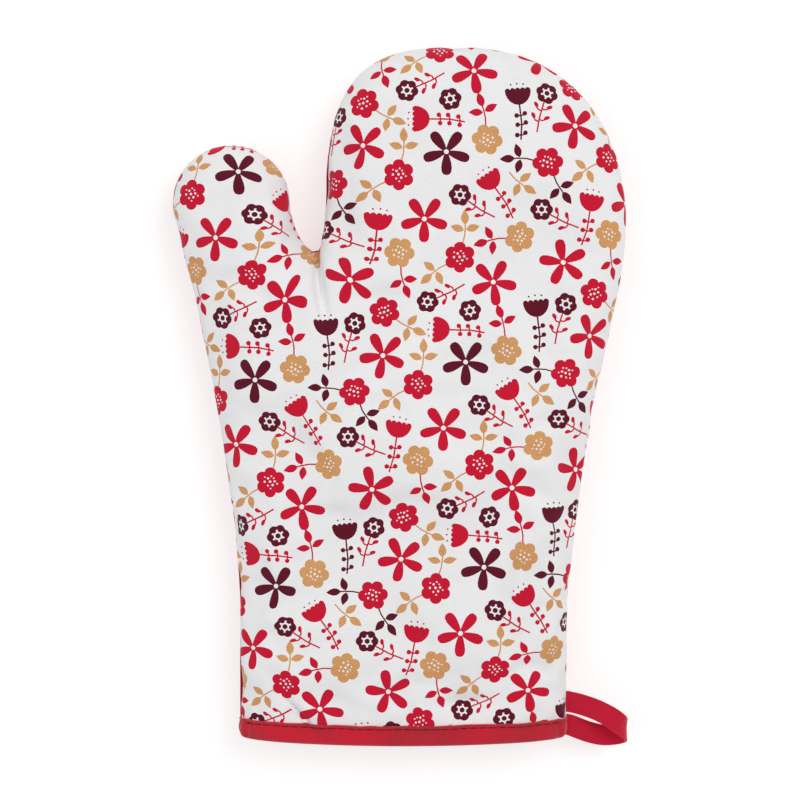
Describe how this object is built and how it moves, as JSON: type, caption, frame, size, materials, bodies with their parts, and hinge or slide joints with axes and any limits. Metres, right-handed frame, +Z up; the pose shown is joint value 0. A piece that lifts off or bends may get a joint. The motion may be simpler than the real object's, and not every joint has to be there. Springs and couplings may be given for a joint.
{
  "type": "oven mitt",
  "caption": "Padded cotton oven mitt with one thumb, a floral print front, plain red back, red bound cuff and a red hanging loop at the side seam.",
  "frame": {"origin": "middle of the resting face: centre of the bounding box at its lowest height, on the surface that the mitt lies on", "axes": "+X across the cuff from the thumb side to the loop side, +Y from the hem to the fingertips, +Z up through the thickness, out of the printed front"},
  "size_m": [0.1958, 0.299, 0.039],
  "materials": {
    "printed_cotton": "matte",
    "red_cotton": "matte",
    "wadding": "matte",
    "lining": "matte",
    "red_tape": "matte",
    "red_thread": "matte"
  },
  "bodies": {
    "palm": {"shell_front_palm": "printed_cotton", "shell_back_palm": "red_cotton", "wadding_front_palm": "wadding", "wadding_back_palm": "wadding", "lining_front_palm": "lining", "lining_back_palm": "lining", "binding_front": "red_tape", "binding_back": "red_tape", "binding_stitch_front": "red_thread", "binding_stitch_back": "red_thread", "seam_thread_left": "red_thread", "seam_thread_right": "red_thread", "seam_thread_crotch": "red_thread"},
    "fingers": {"shell_front_fingers": "printed_cotton", "shell_back_fingers": "red_cotton", "wadding_front_fingers": "wadding", "wadding_back_fingers": "wadding", "lining_front_fingers": "lining", "lining_back_fingers": "lining", "seam_thread_fingers": "red_thread"},
    "thumb": {"shell_front_thumb": "printed_cotton", "shell_back_thumb": "red_cotton", "wadding_front_thumb": "wadding", "wadding_back_thumb": "wadding", "lining_front_thumb": "lining", "lining_back_thumb": "lining", "seam_thread_thumb": "red_thread"},
    "loop": {"hanging_loop": "red_tape"}
  },
  "joints": [
    {"name": "finger_fold", "type": "hinge", "parent": "palm", "child": "fingers", "pos_m": [0.03238, 0.07351, 0.0375], "axis": [1, 0, 0], "range_deg": [0, 70], "stiffness_Nm_per_rad": 0.3},
    {"name": "thumb_fold", "type": "hinge", "parent": "palm", "child": "thumb", "pos_m": [-0.04708, 0.06683, 0.0375], "axis": [0.5329, 0.8462, 0], "range_deg": [0, 60], "stiffness_Nm_per_rad": 0.15},
    {"name": "loop_swing", "type": "hinge", "parent": "palm", "child": "loop", "pos_m": [0.07408, -0.1345, 0.0195], "axis": [0, -1, 0], "range_deg": [-35, 70], "stiffness_Nm_per_rad": 0.002}
  ]
}
